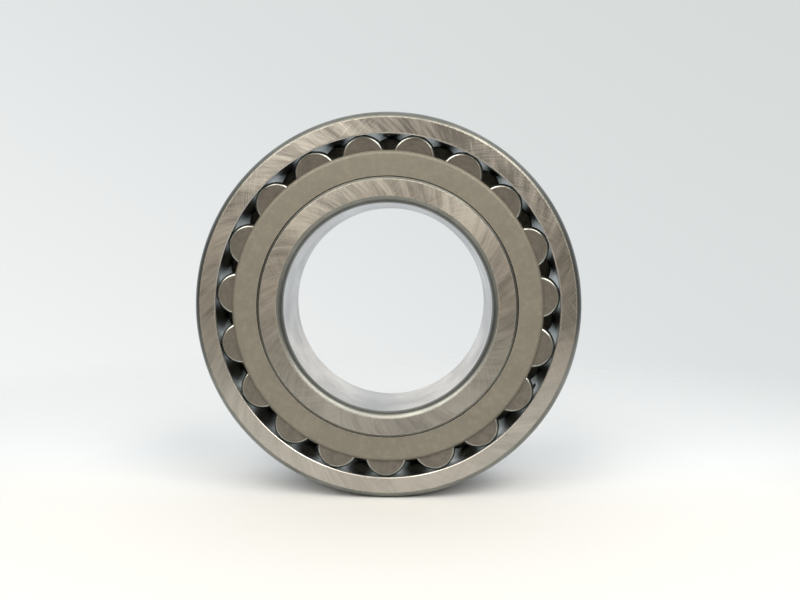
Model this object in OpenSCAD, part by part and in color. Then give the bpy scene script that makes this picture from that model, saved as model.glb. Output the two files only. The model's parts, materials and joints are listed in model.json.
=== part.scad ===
// Spherical roller bearing, 65 x 120 x 31 mm, open on both sides, with a straight bore.
// Two rows of barrel rollers run inside one spherical raceway, so that the inner ring,
// the rollers and their cages swivel together inside the outer ring.
// It stands on its rim: its axis is along Y, +Z is up, and the origin is its middle.

/* [Rings] */
// Bore of the inner ring, where the shaft sits
bore_d = 65; // [60:0.5:67]
// Outside diameter of the outer ring, where the housing sits
outer_d = 120; // [119:0.5:124]
// Width of both rings
ring_w = 31; // [31:0.1:32]
// Radius of the sphere that the outer raceway is ground to
sphere_r = 55.2; // [55:0.1:55.4]
// Diameter of the inner ring's flat side face
inner_face_d = 79; // [77:0.5:79.5]
// Length of the rounded corners along the bore and the rim
corner_l = 2.5; // [2:0.1:3]
// Height of the bore's rounded corners
bore_corner_h = 1.9; // [1.6:0.1:2.2]
// Height of the rim's rounded corners
rim_corner_h = 2; // [1.6:0.1:2.4]

/* [Rollers] */
// Rollers in each row
rollers_per_row = 19; // [17:1:19]
// Roller diameter, at the middle of the barrel
roller_d = 13.5; // [13.3:0.1:13.6]
// Roller length
roller_l = 11.2; // [10.8:0.1:11.3]
// Radius of the barrel's side, a little tighter than the raceways
barrel_r = 53.8; // [52:0.1:54.4]
// Rounding of the roller's end edges
roller_edge = 0.7; // [0.5:0.1:0.9]
// Angle between the line of contact and the bearing's middle plane
contact_angle = 9.1; // [8.9:0.1:9.5]
// Clearance between a roller and each raceway
roller_play = 0.1; // [0.08:0.01:0.12]
// Where front_roller_01 stands, turned from +X towards +Z
first_roller_angle = 269.4; // [0:0.1:360]

/* [Cages] */
// Thickness of the pressed sheet
sheet_t = 1.2; // [1:0.1:1.3]
// Depth of the flange behind the rings' side faces
flange_recess = 0.7; // [0.6:0.05:0.75]
// Hole in the flange, around the inner ring
flange_hole_d = 81.1; // [81:0.1:82]
// Outside radius of the bend between flange and body
bend_r = 1.4; // [1.35:0.05:1.6]
// Height of the sheet's middle above the roller axes
sheet_offset = 1; // [0.9:0.05:1.1]
// Clearance around a roller in its pocket
pocket_play = 0.15; // [0.12:0.01:0.2]
// Rounding of the pocket's corners
pocket_corner = 1.2; // [0.8:0.1:1.4]
// Width of the closed rim beyond the pockets
rim_w = 1.5; // [1:0.1:1.7]

/* [Guide ring] */
// Outside diameter of the ring between the two rows
guide_d = 95.2; // [92:0.2:96]
// Clearance between its bore and the inner ring
guide_bore_play = 0.15; // [0.1:0.01:0.2]
// Clearance to the roller ends on each side
guide_side_play = 0.12; // [0.1:0.01:0.15]
// Chamfer on its four edges
guide_chamfer = 0.25; // [0.1:0.05:0.3]

/* [Lubrication] */
// Width of the oil groove around the rim
groove_w = 5.5; // [4:0.5:7]
// Depth of the oil groove
groove_depth = 1.3; // [0.8:0.1:1.6]
// Diameter of the oil holes
oil_hole_d = 3; // [2:0.5:4]
// Number of oil holes
oil_holes = 3; // [1:1:6]

/* [Hidden] */
$fn = 120;
steel = [0.66, 0.63, 0.58];
roller_steel = [0.47, 0.44, 0.41];
cage_steel = [0.57, 0.54, 0.46];
guide_steel = [0.60, 0.60, 0.58];

// Every outline below is drawn with its radius along x and its distance from the middle
// plane along y. across points from the bearing's middle through a roller's middle, and
// along runs down the roller's axis towards the nearer side face.
across = [cos(contact_angle), sin(contact_angle)];
along = [-sin(contact_angle), cos(contact_angle)];
half_w = ring_w / 2;

roller_middle = (sphere_r - roller_play - roller_d / 2) * across;
edge_start = roller_l / 2 - roller_edge;
race_floor_r = sphere_r - 2 * roller_play - roller_d;
race_centre = (race_floor_r + sphere_r) * across;

// The inner ring's middle land runs just under the corners of the roller ends.
inner_corner = roller_middle - roller_l / 2 * along - roller_d / 2 * across;
land_r = race_centre[0] - sqrt(pow(sphere_r, 2) - pow(race_centre[1] - inner_corner[1], 2));
inner_edge = [0.8, 0.6];

face_edge = 0.42;
face_inner_r = sqrt(pow(sphere_r, 2) - pow(half_w, 2)) + face_edge;

guide_bore_r = land_r + guide_bore_play;
guide_r = guide_d / 2;
guide_slope = tan(contact_angle);
roller_end = roller_middle - roller_l / 2 * along;

sheet_top = sheet_offset + sheet_t / 2;
sheet_bottom = sheet_offset - sheet_t / 2;
pocket_l = roller_l + 2 * pocket_play;
pocket_side = roller_d / 2 + pocket_play;
side_slope = asin(sheet_offset / pocket_side);
flange_front = half_w - flange_recess;
bend_y = flange_front - bend_r;
bend_x = (roller_middle * across + sheet_top - bend_r - bend_y * across[1]) / across[0];

pitch = 360 / rollers_per_row;
front_phase = first_roller_angle;
rear_phase = first_roller_angle + pitch / 2;

function numbered(name, i) = str(name, i < 10 ? "_0" : "_", i);
front_rollers = [for (i = [1:rollers_per_row]) numbered("front_roller", i)];
rear_rollers = [for (i = [1:rollers_per_row]) numbered("rear_roller", i)];

// Barrel radius at a distance from the roller's middle
function barrel_at(s) = roller_d / 2 - barrel_r + sqrt(pow(barrel_r, 2) - s * s);

// Distance of the guide ring's side from the middle plane, at a radius
function guide_side(r) =
    roller_end[1] + (r - roller_end[0]) * guide_slope - guide_side_play / across[0];

// A point of an arc, for outlines
function on_arc(centre, r, angle) = centre + r * [cos(angle), sin(angle)];

// Turns the bearing from a +Z axis, where outlines are revolved, to its own along Y
module stand() rotate([90, 0, 0]) children();

module both_sides() {
    children();
    mirror([0, 1]) children();
}

// What rounding takes off an outline's corner at the origin, with the outline below and to
// the left of it. The arc starts dx along the top and ends dy down the side.
module corner_waste(dx, dy) {
    r = norm([dx, dy]);
    translate([-(dx + sqrt(3) * dy) / 2, -(dy + sqrt(3) * dx) / 2])
        difference() {
            square(2 * r);
            circle(r);
        }
}

// Places its children at roller number i of a row: x across the roller, z along its axis
module at_roller(phase, i)
    rotate([0, 0, phase + (i - 1) * pitch])
        translate([roller_middle[0], 0, roller_middle[1]])
            rotate([0, -contact_angle, 0])
                children();

module outer_ring_outline() difference() {
    outer_r = outer_d / 2;
    polygon([
        [face_inner_r - 4, half_w - 4], [face_inner_r, half_w], [outer_r, half_w],
        [outer_r, -half_w], [face_inner_r, -half_w], [face_inner_r - 4, 4 - half_w]
    ]);
    circle(sphere_r);
    both_sides() translate([outer_r, half_w]) corner_waste(rim_corner_h, corner_l);
    translate([outer_r - groove_depth, -groove_w / 2]) square([groove_depth + 1, groove_w]);
}

// One piece with a spherical raceway, an oil groove around the rim and holes through it
module outer_ring() color(steel) stand() difference() {
    rotate_extrude() outer_ring_outline();
    for (i = [1:oil_holes])
        rotate([0, 90, 90 + i * 360 / oil_holes])
            cylinder(d = oil_hole_d, h = outer_d);
}

module inner_ring_outline() difference() {
    bore_r = bore_d / 2;
    face_r = inner_face_d / 2;
    polygon([
        [bore_r, half_w], [face_r, half_w], [face_r, half_w] + 2 * [inner_edge[0], -inner_edge[1]],
        [land_r, half_w / 2], [land_r, -half_w / 2],
        [face_r, -half_w] + 2 * inner_edge, [face_r, -half_w], [bore_r, -half_w]
    ]);
    both_sides() translate(race_centre) circle(sphere_r);
    both_sides() translate([bore_r, half_w]) mirror([1, 0]) corner_waste(bore_corner_h, corner_l);
}

// Two hollow raceways side by side, with a plain land between them and a straight bore
module inner_ring() color(steel) stand() rotate_extrude() inner_ring_outline();

// Loose ring on the inner ring's land, with sides that match the tilted roller ends
module guide_ring() color(guide_steel) stand() rotate_extrude() {
    c = guide_chamfer;
    half = [
        [guide_bore_r, guide_side(guide_bore_r) - c],
        [guide_bore_r + c, guide_side(guide_bore_r + c)],
        [guide_r - c, guide_side(guide_r - c)],
        [guide_r, guide_side(guide_r) - c]
    ];
    polygon(concat(half, [for (i = [3:-1:0]) [half[i][0], -half[i][1]]]));
}

module cage_outline() {
    bend = [bend_x, bend_y];
    steps = 6;
    step = (90 - contact_angle) / steps;
    rim = roller_middle - (pocket_l / 2 + rim_w) * along;
    polygon(concat(
        [[flange_hole_d / 2, flange_front]],
        [for (i = [0:steps]) on_arc(bend, bend_r, 90 - i * step)],
        [rim + sheet_top * across, rim + sheet_bottom * across],
        [for (i = [steps:-1:0]) on_arc(bend, bend_r - sheet_t, 90 - i * step)],
        [[flange_hole_d / 2, flange_front - sheet_t]]
    ));
}

// Half of a pocket seen from outside the bearing, with rounded corners
module pocket_outline_half(wide) difference() {
    translate([-pocket_l / 2, -1]) square([pocket_l, wide + 1]);
    translate([pocket_l / 2, wide]) corner_waste(pocket_corner, pocket_corner);
    translate([-pocket_l / 2, wide]) mirror([1, 0]) corner_waste(pocket_corner, pocket_corner);
}

// A pocket's sides lean in over the roller, so that it can't drop out of the cage. It starts
// below the roller's axis, because the round sheet dips beside the roller.
module pocket() {
    below = 1.5;
    above = 3;
    lean = tan(side_slope);
    wide = pocket_side / cos(side_slope);
    low = wide + below * lean;
    high = wide - above * lean;
    intersection() {
        linear_extrude(pocket_l, center = true)
            polygon([[-below, -low], [above, -high], [above, high], [-below, low]]);
        translate([-below, 0, 0])
            rotate([0, 90, 0])
                linear_extrude(below + above) both_sides() pocket_outline_half(wide);
    }
}

// Pressed sheet: a flange behind the side face, and a cone with one pocket for each roller
module cage(phase) color(cage_steel) difference() {
    rotate_extrude() cage_outline();
    for (i = [1:rollers_per_row]) at_roller(phase, i) pocket();
}

module front_cage() stand() cage(front_phase);
module rear_cage() stand() mirror([0, 0, 1]) cage(rear_phase);

// Barrel with flat ends and rounded edges
module roller() color(roller_steel) rotate_extrude() difference() {
    intersection() {
        translate([roller_d / 2 - barrel_r, 0]) circle(barrel_r);
        translate([0, -roller_l / 2]) square([roller_d, roller_l]);
    }
    both_sides()
        translate([barrel_at(edge_start), roller_l / 2]) corner_waste(roller_edge, roller_edge);
}

module front_roller(i) stand() at_roller(front_phase, i) roller();
module rear_roller(i) stand() mirror([0, 0, 1]) at_roller(rear_phase, i) roller();

outer_ring();
inner_ring();
guide_ring();
front_cage();
rear_cage();
for (i = [1:rollers_per_row]) {
    front_roller(i);
    rear_roller(i);
}
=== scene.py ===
"""Looks of the spherical roller bearing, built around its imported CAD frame.

Every piece is turned, pressed or ground in mesh code to its CAD part's sizes, with its edges broken as
on the real one, and stands for its CAD node. Lengths are in metres.
"""
import json
import math
import random

import bmesh
import bpy
from mathutils import Matrix, Vector


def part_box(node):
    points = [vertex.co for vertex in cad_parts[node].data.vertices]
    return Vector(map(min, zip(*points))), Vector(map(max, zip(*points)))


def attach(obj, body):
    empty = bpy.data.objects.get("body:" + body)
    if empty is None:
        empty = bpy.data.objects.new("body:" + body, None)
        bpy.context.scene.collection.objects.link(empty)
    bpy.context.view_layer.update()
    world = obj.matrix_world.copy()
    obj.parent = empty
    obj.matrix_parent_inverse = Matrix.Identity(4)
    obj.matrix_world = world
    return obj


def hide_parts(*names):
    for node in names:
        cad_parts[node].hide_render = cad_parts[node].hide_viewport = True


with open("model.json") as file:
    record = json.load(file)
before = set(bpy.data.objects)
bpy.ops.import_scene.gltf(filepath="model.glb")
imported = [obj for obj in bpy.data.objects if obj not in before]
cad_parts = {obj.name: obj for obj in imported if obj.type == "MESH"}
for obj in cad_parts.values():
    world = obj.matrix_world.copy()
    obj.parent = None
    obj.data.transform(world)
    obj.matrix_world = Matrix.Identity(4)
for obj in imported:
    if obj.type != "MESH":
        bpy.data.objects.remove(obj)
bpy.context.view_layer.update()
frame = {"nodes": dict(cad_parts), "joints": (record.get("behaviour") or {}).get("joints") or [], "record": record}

MM = 0.001
MOUNTS = {mount["name"]: mount["dims"] for mount in frame["record"]["mounts"]}
JOINTS = {joint["child"]: joint for joint in frame["joints"]}

# Sizes that the frame gives
BORE_R = MOUNTS["bore"]["r_mm"] * MM
OUTER_R = MOUNTS["outer_seat"]["r_mm"] * MM
SEAT_END = MOUNTS["bore"]["length_mm"] * MM / 2
HALF_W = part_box("outer_ring")[1].y
FLOOR_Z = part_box("outer_ring")[0].z
FLANGE_FRONT = -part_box("front_cage")[0].y
GUIDE_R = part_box("guide_ring")[1].x
FIRST_ROLLER = JOINTS["front_roller_01"]
PER_ROW = sum(name.startswith("front_roller") for name in frame["nodes"])
PITCH = 2 * math.pi / PER_ROW

# Sizes of the outlines, as the CAD part has them
SPHERE_R = 55.2 * MM
FACE_EDGE = 0.42 * MM
RIM_CORNER_H = 2.0 * MM
BORE_CORNER_H = 1.9 * MM
INNER_FACE_R = 39.5 * MM
INNER_EDGE = Vector((0.8, -0.6)).normalized()
GROOVE_HALF_W = 2.75 * MM
GROOVE_DEPTH = 1.3 * MM
OIL_HOLE_R = 1.5 * MM
OIL_HOLES = 3
ROLLER_R = 6.75 * MM
ROLLER_HALF_L = 5.6 * MM
BARREL_R = 53.8 * MM
ROLLER_EDGE = 0.7 * MM
ROLLER_PLAY = 0.1 * MM
GUIDE_BORE_PLAY = 0.15 * MM
GUIDE_SIDE_PLAY = 0.12 * MM
GUIDE_CHAMFER = 0.25 * MM
SHEET_T = 1.2 * MM
SHEET_TOP = 1.6 * MM
FLANGE_HOLE_R = 40.55 * MM
BEND_R = 1.4 * MM
RIM_W = 1.5 * MM
POCKET_HALF_L = 5.75 * MM
POCKET_SIDE = 6.9 * MM
POCKET_CORNER = 1.2 * MM

# How wide edges are broken, how many points make a full turn, and how near two points are one
BROKEN_EDGE = 0.12 * MM
SMALL_BREAK = 0.05 * MM
RING_TURN = 288
ROLLER_TURN = 72
HOLE_TURN = 48
WELD = 1e-7

# Keeps the part of a place that lies across the bearing's axis
OFF_AXIS = (1, 0, 1)

# An outline is drawn with its radius first and its distance from the middle plane second. ACROSS
# points from the bearing's middle through a roller's middle, and ALONG runs down the roller's axis
# towards the nearer side face.
TILT = math.acos(FIRST_ROLLER["axis"][1])
ACROSS = Vector((math.cos(TILT), math.sin(TILT)))
ALONG = Vector((-math.sin(TILT), math.cos(TILT)))
ROLLER_MIDDLE = (SPHERE_R - ROLLER_PLAY - ROLLER_R) * ACROSS
RACE_FLOOR_R = SPHERE_R - 2 * ROLLER_PLAY - 2 * ROLLER_R
RACE_CENTRE = (RACE_FLOOR_R + SPHERE_R) * ACROSS
LAND_EDGE = ROLLER_MIDDLE - ROLLER_HALF_L * ALONG - ROLLER_R * ACROSS
LAND_R = RACE_CENTRE.x - math.sqrt(SPHERE_R ** 2 - (RACE_CENTRE.y - LAND_EDGE.y) ** 2)


# ---------------------------------------------------------------- outlines

def mirrored(points):
    """The same points on the other side of the middle plane, run backwards."""
    return [Vector((p.x, -p.y)) for p in reversed(points)]


def arc(centre, radius, start, end, steps):
    """Points of an arc between two angles, ends included."""
    angles = [start + (end - start) * i / steps for i in range(steps + 1)]
    return [centre + radius * Vector((math.cos(a), math.sin(a))) for a in angles]


def bulge(start, end, steps=8):
    """Rounded corner, an arc as wide as its radius, with the corner's outside to its right."""
    chord = end - start
    centre = (start + end) / 2 + Vector((-chord.y, chord.x)) * math.sqrt(3) / 2
    first = math.atan2(start.y - centre.y, start.x - centre.x)
    return arc(centre, chord.length, first, first + math.pi / 3, steps)


def join(stretches, broken=BROKEN_EDGE, steps=3, closed=True):
    """One outline from (finish, points) stretches, with the corners between them rounded off.

    Returns its points, and the finish of the line from each point to the next.
    """
    points, finishes = [], []
    lines = [line for _, line in stretches]
    for i, (finish, line) in enumerate(stretches):
        begins, ends = closed or i > 0, closed or i < len(stretches) - 1
        head, tail = (line[1] - line[0]), (line[-2] - line[-1])
        first = line[0] + head.normalized() * min(broken, head.length / 3) * begins
        last = line[-1] + tail.normalized() * min(broken, tail.length / 3) * ends
        points += [first, *line[1:-1], last]
        finishes += [finish] * (len(line) - 1)
        if ends:
            onward = lines[(i + 1) % len(lines)]
            head = onward[1] - onward[0]
            landing = onward[0] + head.normalized() * min(broken, head.length / 3)
            for k in range(1, steps):
                t = k / steps
                points.append((1 - t) ** 2 * last + 2 * t * (1 - t) * line[-1] + t ** 2 * landing)
            finishes += ["edge"] * steps
    return points, finishes


def outer_ring_outline():
    """Oil groove, rim, rounded corners, side faces and the spherical raceway."""
    seat_corner = Vector((OUTER_R, SEAT_END))
    face_outer = Vector((OUTER_R - RIM_CORNER_H, HALF_W))
    face_inner = Vector((math.sqrt(SPHERE_R ** 2 - HALF_W ** 2) + FACE_EDGE, HALF_W))
    # The 45 degree break of the opening's edge runs down to the sphere.
    half_sum = (face_inner.x + face_inner.y) / 2
    cut = half_sum - math.sqrt(half_sum ** 2 - (face_inner.length_squared - SPHERE_R ** 2) / 2)
    race_end = face_inner - Vector((cut, cut))
    end_angle = math.atan2(race_end.y, race_end.x)
    groove = [Vector((OUTER_R - GROOVE_DEPTH, GROOVE_HALF_W)), Vector((OUTER_R, GROOVE_HALF_W))]
    half = [
        ("turned", groove),
        ("honed", [groove[1], seat_corner]),
        ("turned", bulge(seat_corner, face_outer)),
        ("outer_ground", [face_outer, face_inner]),
        ("honed", [face_inner, race_end]),
    ]
    return join([
        ("turned", [Vector((groove[0].x, -GROOVE_HALF_W)), groove[0]]),
        *half,
        ("raceway", arc(Vector((0, 0)), SPHERE_R, end_angle, -end_angle, 48)),
        *[(finish, mirrored(line)) for finish, line in reversed(half)],
    ])


def inner_ring_outline():
    """Bore, rounded corners, side faces, two hollow raceways and the land between them."""
    bore_corner = Vector((BORE_R, SEAT_END))
    face_inner = Vector((BORE_R + BORE_CORNER_H, HALF_W))
    face_outer = Vector((INNER_FACE_R, HALF_W))
    # The edge's break runs down to the raceway's sphere.
    reach = (face_outer - RACE_CENTRE).dot(INNER_EDGE)
    gap = (face_outer - RACE_CENTRE).length_squared - SPHERE_R ** 2
    race_end = face_outer + INNER_EDGE * (-reach - math.sqrt(reach ** 2 - gap))
    start = math.atan2(race_end.y - RACE_CENTRE.y, race_end.x - RACE_CENTRE.x)
    land = Vector((LAND_R, LAND_EDGE.y))
    stop = math.atan2(land.y - RACE_CENTRE.y, land.x - RACE_CENTRE.x) % (2 * math.pi)
    half = [
        ("raceway", arc(RACE_CENTRE, SPHERE_R, stop, start % (2 * math.pi), 28)),
        ("turned", [race_end, face_outer]),
        ("inner_ground", [face_outer, face_inner]),
        ("turned", bulge(face_inner, bore_corner)),
    ]
    return join([
        ("turned", [Vector((land.x, -land.y)), land]),
        *half,
        ("honed", [bore_corner, Vector((BORE_R, -SEAT_END))]),
        *[(finish, mirrored(line)) for finish, line in reversed(half)],
    ])


def guide_ring_outline():
    """Ring on the inner ring's land, whose sloped sides face the rollers' ends."""
    def side(r):
        end = ROLLER_MIDDLE - ROLLER_HALF_L * ALONG
        return end.y + (r - end.x) * math.tan(TILT) - GUIDE_SIDE_PLAY / ACROSS.x

    bore, c = LAND_R + GUIDE_BORE_PLAY, GUIDE_CHAMFER
    corners = [Vector((bore, side(bore) - c)), Vector((bore + c, side(bore + c))),
               Vector((GUIDE_R - c, side(GUIDE_R - c))), Vector((GUIDE_R, side(GUIDE_R) - c))]
    loop = corners[::-1] + [Vector((p.x, -p.y)) for p in corners]
    return join([("iron", [p, q]) for p, q in zip(loop, loop[1:] + loop[:1])], broken=SMALL_BREAK)


def roller_outline():
    """Crowned barrel with rounded corners and flat ends, from one end to the other."""
    def barrel(s):
        return ROLLER_R - BARREL_R + math.sqrt(BARREL_R ** 2 - s ** 2)

    edge = ROLLER_HALF_L - ROLLER_EDGE
    span = math.asin(edge / BARREL_R)
    corner = bulge(Vector((barrel(edge), edge)), Vector((barrel(edge) - ROLLER_EDGE, ROLLER_HALF_L)))
    end = [corner[-1], Vector((0, ROLLER_HALF_L))]
    side = arc(Vector((ROLLER_R - BARREL_R, 0)), BARREL_R, -span, span, 16)
    return join([("end", mirrored(end)), ("rolled", mirrored(corner)), ("rolled", side),
                 ("rolled", corner), ("end", end)], broken=SMALL_BREAK, closed=False)


# ---------------------------------------------------------------- meshes

def around_axis(point, angle):
    """An outline point turned about the bearing's axis."""
    return Vector((point.x * math.cos(angle), -point.y, point.x * math.sin(angle)))


def around_z(point, angle):
    """An outline point turned about a piece's own Z axis."""
    return Vector((point.x * math.cos(angle), point.x * math.sin(angle), point.y))


def revolve(mesh, outline, finishes, place=around_axis, around=RING_TURN, start=0.0, closed=True):
    """Adds an outline to a bmesh, turned about an axis. place puts an outline point at an angle."""
    points, zones = outline
    turns = [start + 2 * math.pi * k / around for k in range(around)]
    rings = [[mesh.verts.new(place(p, turn)) for turn in turns] if p.x > WELD
             else [mesh.verts.new(place(p, 0.0))] * around for p in points]
    for low, high, zone in zip(rings, rings[1:] + rings[:closed], zones):
        for k in range(around):
            corners = dict.fromkeys([low[k - 1], low[k], high[k], high[k - 1]])
            mesh.faces.new(list(corners)).material_index = finishes.index(zone)


def welded(mesh, name):
    """Mesh data of a bmesh whose doubled points are joined and whose faces look outwards."""
    bmesh.ops.remove_doubles(mesh, verts=mesh.verts, dist=WELD)
    bmesh.ops.recalc_face_normals(mesh, faces=mesh.faces)
    data = bpy.data.meshes.new(name)
    mesh.to_mesh(data)
    mesh.free()
    return data


def new_object(name, data):
    piece = bpy.data.objects.new(name, data)
    bpy.context.scene.collection.objects.link(piece)
    return piece


def surface(data, finishes):
    """Gives mesh data its finishes and smooth shading."""
    for finish in finishes:
        data.materials.append(FINISHES[finish])
    data.shade_smooth()
    return data


def stand_in(piece, node):
    """The piece rides with its CAD node's body and is shown in place of the node."""
    piece.modifiers.new("flat_faces_stay_flat", "WEIGHTED_NORMAL")
    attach(piece, node)
    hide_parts(node)


def turned_ring(name, outline, finishes):
    """A ring turned from its outline about the bearing's axis."""
    mesh = bmesh.new()
    revolve(mesh, outline, finishes)
    return new_object(name, surface(welded(mesh, name), finishes))


def drill_oil_holes(ring):
    """Holes from the groove's floor to the raceway, evenly spaced from the top, with broken edges."""
    floor_r, flare, reach = OUTER_R - GROOVE_DEPTH, 2 * BROKEN_EDGE, MM
    profile = [Vector((0, SPHERE_R - reach)), Vector((OIL_HOLE_R + flare + reach, SPHERE_R - reach)),
               Vector((OIL_HOLE_R, SPHERE_R + flare)), Vector((OIL_HOLE_R, floor_r - flare)),
               Vector((OIL_HOLE_R + flare + reach, floor_r + reach)), Vector((0, floor_r + reach))]
    zones = ["turned"] * (len(profile) - 1)
    mesh = bmesh.new()
    for k in range(OIL_HOLES):
        turn = Matrix.Rotation(2 * math.pi * k / OIL_HOLES, 3, "Y")
        revolve(mesh, (profile, zones), ["turned"], lambda p, a: turn @ around_z(p, a), HOLE_TURN,
                closed=False)
    cutter = new_object("oil_hole_cutter", welded(mesh, "oil_hole_cutter"))
    cut = ring.modifiers.new("oil_holes", "BOOLEAN")
    cut.object, cut.solver = cutter, "EXACT"
    drilled = ring.evaluated_get(bpy.context.evaluated_depsgraph_get())
    ring.data = bpy.data.meshes.new_from_object(drilled)
    ring.modifiers.clear()
    bpy.data.objects.remove(cutter)


def build_rings():
    """The outer ring, the inner ring and the guide ring."""
    shared = ["turned", "honed", "raceway", "edge"]
    outer = turned_ring("outer_ring_visual", outer_ring_outline(), ["outer_ground", *shared])
    drill_oil_holes(outer)
    stand_in(outer, "outer_ring")
    inner = turned_ring("inner_ring_visual", inner_ring_outline(), ["inner_ground", *shared])
    stand_in(inner, "inner_ring")
    guide = turned_ring("guide_ring_visual", guide_ring_outline(), ["iron", "edge"])
    stand_in(guide, "guide_ring")


def build_rollers():
    """One barrel, placed on every roller's hinge and spun to an angle of its own."""
    finishes = ["end", "rolled", "edge"]
    mesh = bmesh.new()
    revolve(mesh, roller_outline(), finishes, around_z, ROLLER_TURN, closed=False)
    data = surface(welded(mesh, "roller"), finishes)
    turns = random.Random(19)
    for node in sorted(name for name in JOINTS if "roller" in name):
        hinge = JOINTS[node]
        roller = new_object(f"{node}_visual", data)
        tilt = Vector((0, 0, 1)).rotation_difference(Vector(hinge["axis"])).to_matrix().to_4x4()
        spin = Matrix.Rotation(turns.uniform(0, 2 * math.pi), 4, "Z")
        roller.matrix_world = Matrix.Translation(hinge["pos_m"]) @ tilt @ spin
        stand_in(roller, node)


# ---------------------------------------------------------------- cages

# A cage is a turned flange and rim, joined by one cell of sheet for each roller with a window in it.
# Quarters of a cell's border and of its window have the same number of points. The cell stops just
# short of the rim's end, which is turned.
HALF_ACROSS, HALF_ALONG = 8, 6
CELL_END = ROLLER_HALF_L + 1.4 * MM
LEAN = math.asin((SHEET_TOP - SHEET_T / 2) / POCKET_SIDE)
BEND = Vector((0, FLANGE_FRONT - BEND_R))
BEND.x = (ROLLER_MIDDLE.dot(ACROSS) + SHEET_TOP - BEND_R - BEND.y * ACROSS.y) / ACROSS.x
CELL_TOP = (BEND - ROLLER_MIDDLE).dot(ALONG)
CLOSING_ROUNDS = 6


def on_sheet(height, along):
    """Outline point at a height above the roller's axis and a distance along it."""
    return ROLLER_MIDDLE + height * ACROSS + along * ALONG


def cell_border(height):
    """(outline point, angle) pairs around a cell, from the middle of its flange end."""
    half = PITCH / 2
    right = [(CELL_TOP, half * k / HALF_ACROSS) for k in range(HALF_ACROSS)]
    right += [(CELL_TOP * (1 - k / HALF_ALONG), half) for k in range(HALF_ALONG)]
    right += [(-CELL_END * k / HALF_ALONG, half) for k in range(HALF_ALONG)]
    right += [(-CELL_END, half * (1 - k / HALF_ACROSS)) for k in range(HALF_ACROSS + 1)]
    left = [(along, -angle) for along, angle in reversed(right[1:-1])]
    return [(on_sheet(height, along), angle) for along, angle in right + left]


def window(height, grow=0.0):
    """The same around a window, whose sides lean in over the roller."""
    end, wide = POCKET_HALF_L + grow, POCKET_SIDE / math.cos(LEAN) + grow
    corner = bulge(Vector((wide, end - POCKET_CORNER)), Vector((wide - POCKET_CORNER, end)))[::-1]
    flat, side = HALF_ACROSS // 2, HALF_ALONG - HALF_ACROSS // 2
    quarter = [Vector((corner[0].x * k / flat, end)) for k in range(flat)] + corner
    quarter += [Vector((wide, corner[-1].y * (1 - k / side))) for k in range(1, side + 1)]
    right = quarter + [Vector((p.x, -p.y)) for p in reversed(quarter[:-1])]
    outline = right + [Vector((-p.x, p.y)) for p in reversed(right[1:-1])]
    found = []
    for target in outline:
        # The round sheet dips beside the roller, so each point is closed in on.
        angle, along = 0.0, target.y
        for _ in range(CLOSING_ROUNDS):
            point = on_sheet(height, along)
            dip = point.x * (math.cos(angle) - 1)
            limit = wide - math.tan(LEAN) * (height + dip * ACROSS.x)
            angle = math.asin(max(-limit, min(limit, target.x)) / point.x)
            along = target.y - dip * ALONG.x
        found.append((on_sheet(height, along), angle))
    return found


def build_cage(row):
    """The cage of the front or the rear row, with a window on each of its rollers."""
    side = 1 if row == "front" else -1
    node = f"{row}_cage"
    hinge = Vector(JOINTS[f"{row}_roller_01"]["pos_m"])
    phase = math.atan2(hinge.z, hinge.x)
    low, top = SHEET_TOP - SHEET_T, SHEET_TOP
    finishes = ["sheet", "edge"]

    def place(point, angle):
        return around_axis(Vector((point.x, side * point.y)), angle)

    mesh = bmesh.new()
    flange_back = FLANGE_FRONT - SHEET_T
    outer_bend = arc(BEND, BEND_R, TILT, math.pi / 2, 10)
    inner_bend = arc(BEND, BEND_R - SHEET_T, math.pi / 2, TILT, 6)
    hole = [Vector((FLANGE_HOLE_R, FLANGE_FRONT)), Vector((FLANGE_HOLE_R, flange_back))]
    flange = join([("sheet", outer_bend + [hole[0]]), ("sheet", hole),
                   ("sheet", [hole[1]] + inner_bend)], closed=False)
    rim_end = -(POCKET_HALF_L + RIM_W)
    rim_corners = [on_sheet(top, -CELL_END), on_sheet(top, rim_end), on_sheet(low, rim_end),
                   on_sheet(low, -CELL_END)]
    rim = join([("sheet", [p, q]) for p, q in zip(rim_corners, rim_corners[1:])], closed=False)
    around = 2 * HALF_ACROSS * PER_ROW
    for outline in (flange, rim):
        revolve(mesh, outline, finishes, place, around, phase, closed=False)

    broken = BROKEN_EDGE
    loops = [cell_border(top), window(top, broken), window(top - broken), window(low + broken),
             window(low, broken), cell_border(low)]
    for k in range(PER_ROW):
        turn = phase + k * PITCH
        rings = [[mesh.verts.new(place(p, turn + angle)) for p, angle in loop] for loop in loops]
        for inner, outer in zip(rings, rings[1:]):
            for j in range(len(inner)):
                mesh.faces.new([inner[j - 1], inner[j], outer[j], outer[j - 1]])
    piece = new_object(f"{node}_visual", surface(welded(mesh, node), finishes))
    stand_in(piece, node)


# ---------------------------------------------------------------- materials

# Places of a Mix node's sockets that serve colours
COLOR_MIX_INPUTS = (0, 6, 7)
COLOR_MIX_OUTPUT = 2

# Marks across the direction of turning, as a share of a full turn
CROSSWISE = 0.25


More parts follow.
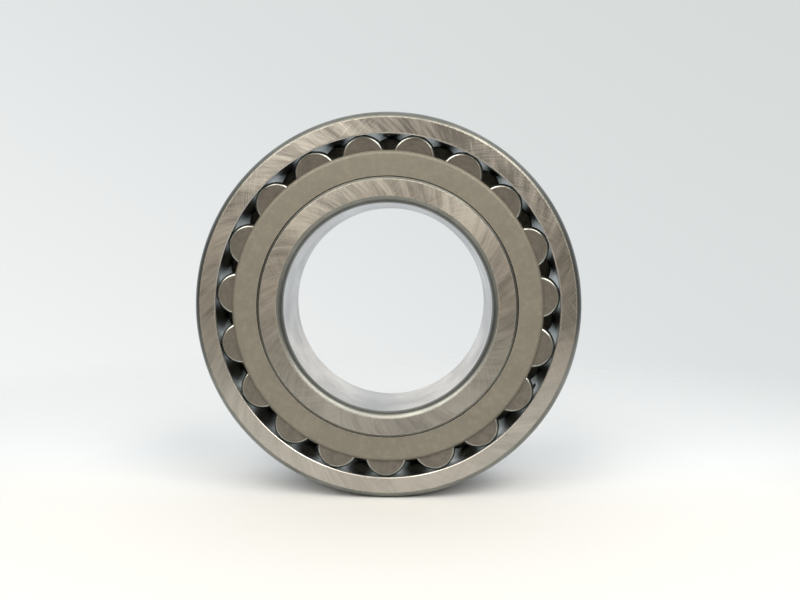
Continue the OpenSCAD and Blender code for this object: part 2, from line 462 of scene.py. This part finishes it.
class Shader:
    """Node tree of a material or a world, built one call at a time."""

    def __init__(self, owner):
        self.owner = owner
        owner.use_nodes = True
        self.tree = owner.node_tree
        self.tree.nodes.clear()
        self.place = self.add("TexCoord").outputs["Object"]

    def put(self, socket, value):
        """Links a socket to another's output, or sets its plain value."""
        if isinstance(value, bpy.types.NodeSocket):
            self.tree.links.new(value, socket)
        else:
            socket.default_value = value

    def add(self, kind, inputs=None, **settings):
        """A new shader node, with its settings and its sockets."""
        node = self.tree.nodes.new(f"ShaderNode{kind}")
        for key, value in settings.items():
            setattr(node, key, value)
        for key, value in (inputs or {}).items():
            self.put(node.inputs[key], value)
        return node

    def math(self, operation, *values):
        return self.add("Math", dict(enumerate(values)), operation=operation).outputs[0]

    def vector(self, operation, *values):
        return self.add("VectorMath", dict(enumerate(values)), operation=operation).outputs[0]

    def noise(self, place, scale=1.0, detail=2.0, roughness=0.5):
        return self.add("TexNoise", {"Vector": place, "Scale": scale, "Detail": detail,
                                     "Roughness": roughness}).outputs["Fac"]

    def spread(self, value, low, high, out_low=0.0, out_high=1.0):
        """The value taken from one range to another, and held at its ends."""
        return self.add("MapRange", {"Value": value, "From Min": low, "From Max": high,
                                     "To Min": out_low, "To Max": out_high}).outputs["Result"]

    def blend(self, factor, low, high):
        """Colour between two as the factor goes from 0 to 1."""
        node = self.add("Mix", data_type="RGBA")
        for index, value in zip(COLOR_MIX_INPUTS, (factor, low, high)):
            self.put(node.inputs[index], value)
        return node.outputs[COLOR_MIX_OUTPUT]

    def ramp(self, value, stops):
        """Colour from (position, colour) stops."""
        node = self.add("ValToRGB", {0: value})
        elements = node.color_ramp.elements
        for _ in stops[2:]:
            elements.new(0.5)
        for element, (position, color) in zip(elements, stops):
            element.position, element.color = position, color
        return node.outputs[0]

    def average(self, first, second, share):
        """Two values mixed, with that share of the second."""
        return self.math("ADD", self.math("MULTIPLY", first, 1 - share),
                         self.math("MULTIPLY", second, share))

    def parts(self, vector):
        return self.add("SeparateXYZ", {0: vector}).outputs

    def distance(self, mask):
        """Distance from the object's origin, counted along the axes the mask keeps."""
        kept = self.vector("MULTIPLY", self.place, mask)
        return self.add("VectorMath", {0: kept}, operation="LENGTH").outputs["Value"]

    def outwards(self):
        """Unit vector straight out from the bearing's axis."""
        return self.vector("NORMALIZE", self.vector("MULTIPLY", self.place, OFF_AXIS))

    def leaning_marks(self, start, fineness, length, lean, detail=3.0):
        """Marks on a side face that run outwards, turned aside by the lean in radians a metre."""
        radius = self.distance(OFF_AXIS)
        angle = self.math("MULTIPLY", radius, lean)
        turned = self.add("VectorRotate", {"Vector": self.outwards(), "Angle": angle},
                          rotation_type="Y_AXIS").outputs[0]
        fine = self.vector("MULTIPLY", self.vector("ADD", turned, start), (fineness,) * 3)
        lengthwise = self.add("CombineXYZ", {"Y": self.math("DIVIDE", radius, length)}).outputs[0]
        return self.noise(self.vector("ADD", fine, lengthwise), 1.0, detail, 0.65)

    def turned_lines(self, spacing):
        """Fine lines round the axis, such as a lathe tool or a hone leaves."""
        depth = self.parts(self.place)[1]
        section = self.add("CombineXYZ", {"X": self.distance(OFF_AXIS), "Y": depth}).outputs[0]
        return self.noise(section, 1 / spacing, 2.0, 0.6)

    def output(self, shader, kind="OutputMaterial"):
        """Ends the tree with a shader, and returns the material or world."""
        self.put(self.add(kind).inputs["Surface"], shader)
        return self.owner

    def finish(self, color, roughness, normal, **inputs):
        """Ends a material's tree with one principled surface."""
        shader = self.add("BsdfPrincipled", {"Base Color": color, "Roughness": roughness,
                                             "Normal": normal, **inputs})
        return self.output(shader.outputs[0])

    def bump(self, height, depth):
        return self.add("Bump", {"Height": height, "Distance": depth}).outputs["Normal"]

    def tangent(self):
        """Direction of turning about the bearing's axis."""
        return self.add("Tangent", direction_type="RADIAL", axis="Y").outputs[0]


def material_shader(name):
    return Shader(bpy.data.materials.new(name))


def srgb(red, green, blue):
    """Linear colour of an 8 bit display colour."""
    parts = [value / 255 for value in (red, green, blue)]
    return (*[p / 12.92 if p <= 0.04045 else ((p + 0.055) / 1.055) ** 2.4 for p in parts], 1.0)


def ground_face(name, start, level, painted_light_rise):
    """Side face: crossing bundles of grinding marks over slow swings of tone, with a painted highlight that makes
    the marks stand out most near the top, and painted light and shade that changes the tone with height. start
    shifts the marks, so that each ring has its own. level is the tone halfway up, and painted_light_rise is
    painted light that lightens the tone a metre higher by that much."""
    s = material_shader(name)
    clouds = s.noise(s.place, 60, 3, 0.55)
    sweep = s.noise(s.vector("ADD", s.outwards(), start), 1.7, 1, 0.5)
    fine = s.leaning_marks(start, 240, 5 * MM, 10)
    bundles = s.blend(s.spread(clouds, 0.44, 0.56), s.leaning_marks(start, 85, 8 * MM, -26, 4),
                      s.leaning_marks(start, 40, 10 * MM, 20))
    marks = s.average(fine, bundles, 0.6)
    swaths = s.average(s.leaning_marks(start, 13, 16 * MM, 16, 2), sweep, 0.5)
    height = s.parts(s.place)[2]
    # Painted highlight: the marks stand out more towards the top, as if light caught them there.
    painted_mark_glint = s.spread(height, -25 * MM, 30 * MM, 0.4, 1.5)
    tone = s.average(s.spread(marks, 0.36, 0.64), s.spread(swaths, 0.38, 0.62), 0.5)
    tone = s.math("MULTIPLY", s.math("SUBTRACT", tone, 0.5), painted_mark_glint)
    # Painted light and shade: the tone gets lighter or darker with height.
    tone = s.math("ADD", s.math("ADD", tone, s.math("MULTIPLY", height, painted_light_rise)), level)
    color = s.blend(tone, srgb(118, 115, 110), srgb(216, 211, 203))
    return s.finish(color, s.spread(marks, 0.35, 0.65, 0.42, 0.30), s.bump(marks, 0.006 * MM),
                    Metallic=1.0, Anisotropic=0.5, Tangent=s.tangent(), **{"Anisotropic Rotation": CROSSWISE})


def round_surface(name, dark, light, spacing, roughness, bump, clouds=80, share=0.5):
    """Surface with marks round the axis and slow changes of tone."""
    s = material_shader(name)
    lines = s.turned_lines(spacing)
    tone = s.average(lines, s.noise(s.place, clouds, 4, 0.6), share)
    return s.finish(s.blend(s.spread(tone, 0.38, 0.62), dark, light),
                    s.spread(tone, 0.36, 0.64, roughness * 1.2, roughness * 0.8),
                    s.bump(lines, bump), Metallic=1.0, Anisotropic=0.4, Tangent=s.tangent())


def polished_edge():
    """Corner worn or tumbled bright, with tiny nicks."""
    s = material_shader("polished_edge")
    nicks = s.noise(s.place, 2500, 2, 0.7)
    color = s.blend(s.spread(nicks, 0.4, 0.6), srgb(140, 137, 129), srgb(184, 179, 168))
    return s.finish(color, s.spread(nicks, 0.4, 0.6, 0.60, 0.44), s.bump(nicks, 0.006 * MM), Metallic=1.0)


def pressed_sheet():
    """Cage: matt grey-beige conversion coat with fine crystals, rubbed thin in places."""
    s = material_shader("pressed_sheet")
    grain = s.noise(s.place, 5200, 3, 0.7)
    clouds = s.noise(s.place, 130, 4, 0.6)
    rubbed = s.noise(s.vector("MULTIPLY", s.place, (1, 3, 1)), 600, 3, 0.7)
    coat = s.blend(s.spread(clouds, 0.3, 0.7), srgb(117, 113, 103), srgb(123, 119, 108))
    color = s.blend(s.spread(s.average(grain, rubbed, 0.4), 0.50, 0.82), coat, srgb(162, 152, 134))
    return s.finish(color, s.spread(grain, 0.3, 0.7, 0.62, 0.46), s.bump(grain, 0.02 * MM), Metallic=0.35)


def roller_end():
    """Roller's end: dull brown-grey, scuffed in rings, a little different on each roller."""
    s = material_shader("roller_end")
    own = s.add("ObjectInfo").outputs["Random"]
    apart = s.vector("ADD", s.place, s.add("CombineXYZ", {"X": own, "Y": own}).outputs[0])
    mottle = s.noise(apart, 420, 4, 0.65)
    across = s.distance((1, 1, 0))
    rings = s.noise(s.add("CombineXYZ", {"X": across, "Y": own}).outputs[0], 3500, 2, 0.5)
    tone = s.average(mottle, rings, 0.35)
    color = s.blend(s.spread(tone, 0.36, 0.64), srgb(106, 101, 95), srgb(132, 127, 119))
    return s.finish(color, s.spread(tone, 0.35, 0.65, 0.52, 0.38), s.bump(tone, 0.01 * MM), Metallic=0.9)


def roller_side():
    """Barrel and its rounded ends: finely ground round its own axis, and bright."""
    s = material_shader("roller_side")
    lines = s.noise(s.add("CombineXYZ", {"X": s.parts(s.place)[2]}).outputs[0], 9000, 2, 0.6)
    clouds = s.noise(s.place, 300, 3, 0.6)
    color = s.blend(s.average(lines, clouds, 0.6), srgb(142, 145, 141), srgb(184, 186, 181))
    return s.finish(color, s.spread(lines, 0.3, 0.7, 0.32, 0.22), s.bump(lines, 0.002 * MM), Metallic=1.0)


def sintered_iron():
    """Guide ring: dull, faintly porous iron."""
    s = material_shader("sintered_iron")
    pores = s.noise(s.place, 3800, 3, 0.7)
    lines = s.turned_lines(0.12 * MM)
    color = s.blend(s.spread(pores, 0.35, 0.6), srgb(92, 92, 90), srgb(146, 144, 140))
    return s.finish(color, s.spread(pores, 0.3, 0.7, 0.62, 0.48),
                    s.bump(s.average(pores, lines, 0.5), 0.012 * MM), Metallic=0.9)


FINISHES = {
    # The last number of each face is painted light and shade by height: the outer face darkens towards the top,
    # and the inner face lightens.
    "outer_ground": ground_face("outer_ring_face", (2.74, 0, 0), 0.44, -1.5),
    "inner_ground": ground_face("inner_ring_face", (19.18, 12.6, 1), 0.5, 7.0),
    "turned": round_surface("turned_corner", srgb(112, 114, 110), srgb(144, 145, 140),
                            0.05 * MM, 0.38, 0.004 * MM),
    "honed": round_surface("honed_seat", srgb(168, 166, 164), srgb(206, 204, 200),
                           0.03 * MM, 0.26, 0.002 * MM, 60, 0.7),
    "raceway": round_surface("raceway", srgb(145, 153, 151), srgb(172, 179, 178),
                             0.02 * MM, 0.30, 0.001 * MM, 60, 0.7),
    "edge": polished_edge(),
    "sheet": pressed_sheet(),
    "end": roller_end(),
    "rolled": roller_side(),
    "iron": sintered_iron(),
}


# ---------------------------------------------------------------- studio

# The floor fades from its plain middle and is gone before its edge.
FLOOR_R = 0.33
FADE_START, FADE_END = 0.12, 0.32


def floor_material():
    """White sheet under the bearing that fades into the backdrop."""
    s = material_shader("studio_floor")
    color = s.blend(s.spread(s.parts(s.place)[1], -0.02, 0.03), srgb(216, 217, 217), srgb(218, 223, 228))
    plain = s.add("BsdfPrincipled", {"Base Color": color, "Roughness": 0.75}).outputs[0]
    clear = s.add("BsdfTransparent").outputs[0]
    faded = s.spread(s.distance((1, 1, 0)), FADE_START, FADE_END)
    return s.output(s.add("MixShader", {0: faded, 1: plain, 2: clear}).outputs[0])


def build_floor():
    mesh = bmesh.new()
    bmesh.ops.create_circle(mesh, cap_ends=True, segments=96, radius=FLOOR_R)
    bmesh.ops.translate(mesh, verts=mesh.verts, vec=(0, 0, FLOOR_Z))
    data = bpy.data.meshes.new("studio_floor")
    mesh.to_mesh(data)
    mesh.free()
    data.materials.append(floor_material())
    new_object("studio_floor", data)


# Directions in which surfaces see a small warm lamp, and how bright it is. A lamp fades between two
# angles from its middle, given as cosines.
SPOT_EDGE, SPOT_CORE = 0.98, 0.998
WARM_SPOTS = [((-0.18, 0.96, 0.13), 0.4), ((0.18, 0.96, 0.13), 0.4), ((-0.24, -0.32, 0.92), 4.4),
              ((0.45, -0.34, 0.83), 4.6)]


def light_world():
    """Pale backdrop that brightens to the lower left. Surfaces see it bright behind the bearing and
    overhead, dark to the sides and half bright in front, with a few warm lamps."""
    world = bpy.data.worlds.new("studio")
    bpy.context.scene.world = world
    s = Shader(world)
    direction = s.add("TexCoord").outputs["Generated"]
    around = s.ramp(s.spread(s.parts(direction)[1], -1, 1), [
        (0.00, (0.44, 0.39, 0.32, 1)), (0.16, (0.38, 0.35, 0.30, 1)), (0.30, (0.13, 0.13, 0.12, 1)),
        (0.56, (0.16, 0.17, 0.17, 1)), (0.74, (0.66, 0.69, 0.72, 1)), (1.00, (0.70, 0.73, 0.76, 1))])
    overhead = s.blend(s.spread(s.parts(direction)[2], 0.35, 0.95), (0, 0, 0, 1), (0.56, 0.55, 0.53, 1))
    light = s.vector("ADD", around, overhead)
    for place, strength in WARM_SPOTS:
        near = s.add("VectorMath", {0: direction, 1: Vector(place).normalized()},
                     operation="DOT_PRODUCT").outputs["Value"]
        spot = s.blend(s.spread(near, SPOT_EDGE, SPOT_CORE), (0, 0, 0, 1),
                       (strength, 0.9 * strength, 0.75 * strength, 1))
        light = s.vector("ADD", light, spot)
    slope = s.add("VectorMath", {0: direction, 1: (-0.55, 0, -0.85)}, operation="DOT_PRODUCT")
    seen = s.ramp(s.spread(slope.outputs["Value"], -0.5, 0.42), [
        (0.0, srgb(215, 219, 218)), (0.45, srgb(222, 226, 226)), (1.0, srgb(243, 244, 244))])
    color = s.blend(s.add("LightPath").outputs["Is Camera Ray"], light, seen)
    s.output(s.add("Background", {"Color": color}).outputs[0], "OutputWorld")


def add_softbox(name, place, size, power, color):
    """Rectangular lamp that points at the bearing's middle."""
    data = bpy.data.lights.new(name, "AREA")
    data.shape, data.size, data.size_y = "RECTANGLE", *size
    data.energy, data.color = power, color
    lamp = new_object(name, data)
    lamp.location = place
    lamp.rotation_euler = (-Vector(place)).to_track_quat("-Z", "Y").to_euler()


# The photo's camera, as fitted to the bearing's rim, bore and side faces
CAMERA_PLACE = (0.00955, -0.21596, 0.01725)
CAMERA_PITCH, CAMERA_YAW = math.radians(85.846), math.radians(1.570)
LENS_MM, SENSOR_MM = 29.49, 36.0
NEAREST = 0.005


def set_camera():
    data = bpy.data.cameras.new("camera")
    data.lens, data.sensor_width, data.clip_start = LENS_MM, SENSOR_MM, NEAREST
    camera = new_object("camera", data)
    camera.location = CAMERA_PLACE
    camera.rotation_euler = (CAMERA_PITCH, 0, CAMERA_YAW)
    bpy.context.scene.camera = camera
    bpy.context.scene.view_settings.view_transform = "Standard"


build_rings()
build_rollers()
for row_name in ("front", "rear"):
    build_cage(row_name)
build_floor()
light_world()
add_softbox("softbox_left", (-0.22, -0.37, 0.36), (0.40, 0.34), 1.95, (1.0, 0.965, 0.90))
add_softbox("softbox_right", (0.26, -0.34, 0.36), (0.36, 0.34), 1.7, (1.0, 0.965, 0.91))
set_camera()
